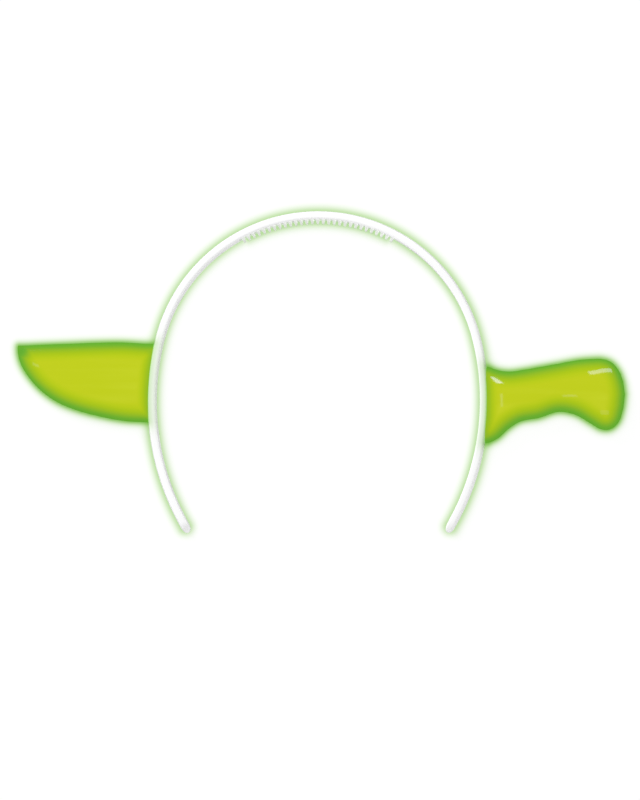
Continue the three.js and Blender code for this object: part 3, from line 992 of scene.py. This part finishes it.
BLADE_SIZE = (BLADE_HEIGHT, BLADE_THICKNESS)
HANDLE_SIZE = (HANDLE_HEIGHT, HANDLE_THICKNESS)
blade_edges = shell_edges(BLADE_ROWS, BLADE_LENGTH, *BLADE_SIZE, BLADE_LEVEL)
handle_edges = shell_edges(HANDLE_ROWS, HANDLE_LENGTH, *HANDLE_SIZE, HANDLE_LEVEL)

white_plastic = white_plastic_finish()
lit_plastic = lit_plastic_finish()

headband = make_headband(white_plastic)
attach(headband, "root")
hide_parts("headband")

blade = make_shell("lit_blade", blade_edges, BLADE_SQUARENESS, BLADE_SIZE, -1, BLADE_LEVEL,
                   lit_plastic, pointed=True)
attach(blade, "root")
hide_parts("blade_shell")

handle = make_shell("lit_handle", handle_edges, HANDLE_SQUARENESS, HANDLE_SIZE, 1, HANDLE_LEVEL,
                    lit_plastic)
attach(handle, "root")
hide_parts("handle_shell")

for post in ("blade_post", "handle_post"):
    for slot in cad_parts[post].material_slots:
        slot.material = white_plastic


# Surface

def make_floor():
    """The pale surface, finely divided around the piece so that the painted glow on it is smooth.
    """
    low, high = cad_bounds
    axes = []
    for axis in (0, 1):
        start = math.floor(low[axis] / MM - FLOOR_MARGIN)
        stop = math.ceil(high[axis] / MM + FLOOR_MARGIN)
        fine = np.arange(start, stop + FLOOR_CELL, FLOOR_CELL)
        axes.append(np.concatenate(([-FLOOR_HALF, 2 * start], fine, [2 * stop, FLOOR_HALF])))
    xs, ys = axes
    grid_x, grid_y = np.meshgrid(xs, ys)
    flat = np.column_stack((grid_x.ravel(), grid_y.ravel()))
    rows, columns = grid_x.shape
    firsts = [row * columns + column for row in range(rows - 1) for column in range(columns - 1)]
    faces = [(first, first + 1, first + columns + 1, first + columns) for first in firsts]
    points = np.column_stack((flat * MM, np.zeros(len(flat))))
    floor = mesh_object("pale_surface", points, faces)
    # Each point of the surface is carried up its line of sight to the piece's middle level.
    foot = np.add((VIEW_MIDDLE_X, VIEW_MIDDLE_Y), CAMERA_HEIGHT * CAMERA_SLOPES)
    spots = (flat - (BAND_MIDDLE_X, WIDEST_Y) - foot) / (1 + MIDDLE_Z / CAMERA_HEIGHT) + foot

    # Painted green glow and shade around the band, its comb and the shells
    first = TIP_TURN + GLOW_TIP_TRIM / LIMB_RADIUS
    band_line = arch_line(first, math.pi - first, BAND_THICKNESS / 2)
    from_band = distance_to_line(spots, band_line)
    comb_half = (TOOTH_COUNT / 2 - COMB_GLOW_TRIM) * TOOTH_PITCH_TURN
    glow_half = COMB_GLOW_DEPTH / 2
    comb = arch_line(math.pi / 2 - comb_half, math.pi / 2 + comb_half, BAND_THICKNESS + glow_half)
    from_comb = distance_to_line(spots, comb)
    band_gap = np.minimum(from_band - GLOW_LINE_HALF, from_comb - glow_half)
    set_attribute(floor, "band_gap", band_gap)
    set_attribute(floor, "comb_gap", from_comb)
    from_knife = np.full(len(spots), np.inf)
    for side, edges in ((-1, blade_edges), (1, handle_edges)):
        outline = shell_outline(edges, side)
        gap = distance_to_line(spots, outline)
        gap[is_inside(spots, outline)] = 0.0
        from_knife = np.minimum(from_knife, gap)
    from_knife[is_inside(spots, band_line)] = FLOOR_HALF
    set_attribute(floor, "knife_gap", from_knife)
    floor.data.materials.append(pale_surface_finish())
    return floor


floor = make_floor()


# Camera

def make_camera():
    aim = Vector(place([(VIEW_MIDDLE_X, VIEW_MIDDLE_Y, 0.0)])[0])
    away = Vector((*CAMERA_SLOPES, 1.0)).normalized()
    right = Vector((0.0, 1.0, 0.0)).cross(away).normalized()
    axes = Matrix((right, away.cross(right), away))
    camera = bpy.data.objects.new("camera", bpy.data.cameras.new("camera"))
    bpy.context.scene.collection.objects.link(camera)
    spot = aim + away * CAMERA_HEIGHT * MM
    camera.matrix_world = Matrix.Translation(spot) @ axes.transposed().to_4x4()
    camera.data.sensor_fit = "VERTICAL"
    camera.data.sensor_height = SENSOR
    camera.data.lens = SENSOR * CAMERA_HEIGHT / VIEW_HEIGHT
    camera.data.clip_end = CLIP_END
    bpy.context.scene.camera = camera
    return camera


camera = make_camera()


# Light

def area_light(name, spot, aim, power, size, height=None):
    """A soft light at a spot, turned to an aim, both in metres."""
    light = bpy.data.lights.new(name, "AREA")
    light.energy = power
    light.shape = "RECTANGLE"
    light.size = size
    light.size_y = height or size
    lamp = bpy.data.objects.new(name, light)
    bpy.context.scene.collection.objects.link(lamp)
    lamp.location = spot
    lamp.rotation_euler = (Vector(aim) - Vector(spot)).to_track_quat("-Z", "Y").to_euler()
    return lamp


def make_world():
    world = bpy.data.worlds.new("studio")
    world.use_nodes = True
    background = world.node_tree.nodes["Background"]
    background.inputs["Color"].default_value = (1.0, 1.0, 1.0, 1.0)
    background.inputs["Strength"].default_value = WORLD_STRENGTH
    world.cycles_visibility.glossy = False
    bpy.context.scene.world = world


def streak_light(name, shell, start, end, width, glare):
    """A lamp that a shell mirrors to the viewer as a streak between two spots given in plan."""
    eye = camera.matrix_world.translation

    def mirrored(spot):
        """Where sight lines to the spot and its neighbours lead, and where the last one hits."""
        ends = []
        for dx, dy in NEIGHBOURS:
            aim = Vector(place([(spot[0] + dx, spot[1] + dy, 0.0)])[0])
            sight = (aim - eye).normalized()
            _, hit, normal, _ = shell.ray_cast(eye, sight)
            ends.append(hit + sight.reflect(normal) * LAMP_DISTANCE)
        return sum(ends, Vector()) / len(ends), hit

    start, end = np.array(start), np.array(end)
    middle = (start + end) / 2
    along = (end - start) / np.linalg.norm(end - start)
    across = np.array((-along[1], along[0])) * width / 2
    surface_spot = mirrored(middle)[1]
    first, last = mirrored(start)[0], mirrored(end)[0]
    centre = (first + last) / 2
    upper, lower = mirrored(middle + across)[0], mirrored(middle - across)[0]
    back = (centre - surface_spot).normalized()
    side = (last - first) - back * (last - first).dot(back)
    length = side.length
    side.normalize()
    rise = back.cross(side)
    breadth = abs((upper - lower).dot(rise))
    power = glare * math.pi * length * breadth
    lamp = area_light(name, centre, surface_spot, power, length, breadth)
    axes = Matrix((side, rise, back)).transposed().to_4x4()
    lamp.matrix_world = Matrix.Translation(centre) @ axes
    lamp.data.color = LAMP_COLOUR
    lamp.visible_diffuse = False
    lamp.visible_camera = False
    receivers = bpy.data.collections.new(name)
    receivers.objects.link(shell)
    lamp.light_linking.receiver_collection = receivers
    return lamp


make_world()
key = area_light("key_light", KEY_SPOT, (0.0, 0.0, 0.0), KEY_POWER, KEY_SIZE)
key.visible_glossy = False
floor.visible_glossy = False
for name, side, *streak in GLOSS_STREAKS:
    streak_light(name, blade if side < 0 else handle, *streak)

bpy.context.scene.view_settings.view_transform = "Standard"
bpy.context.scene.view_settings.look = "None"
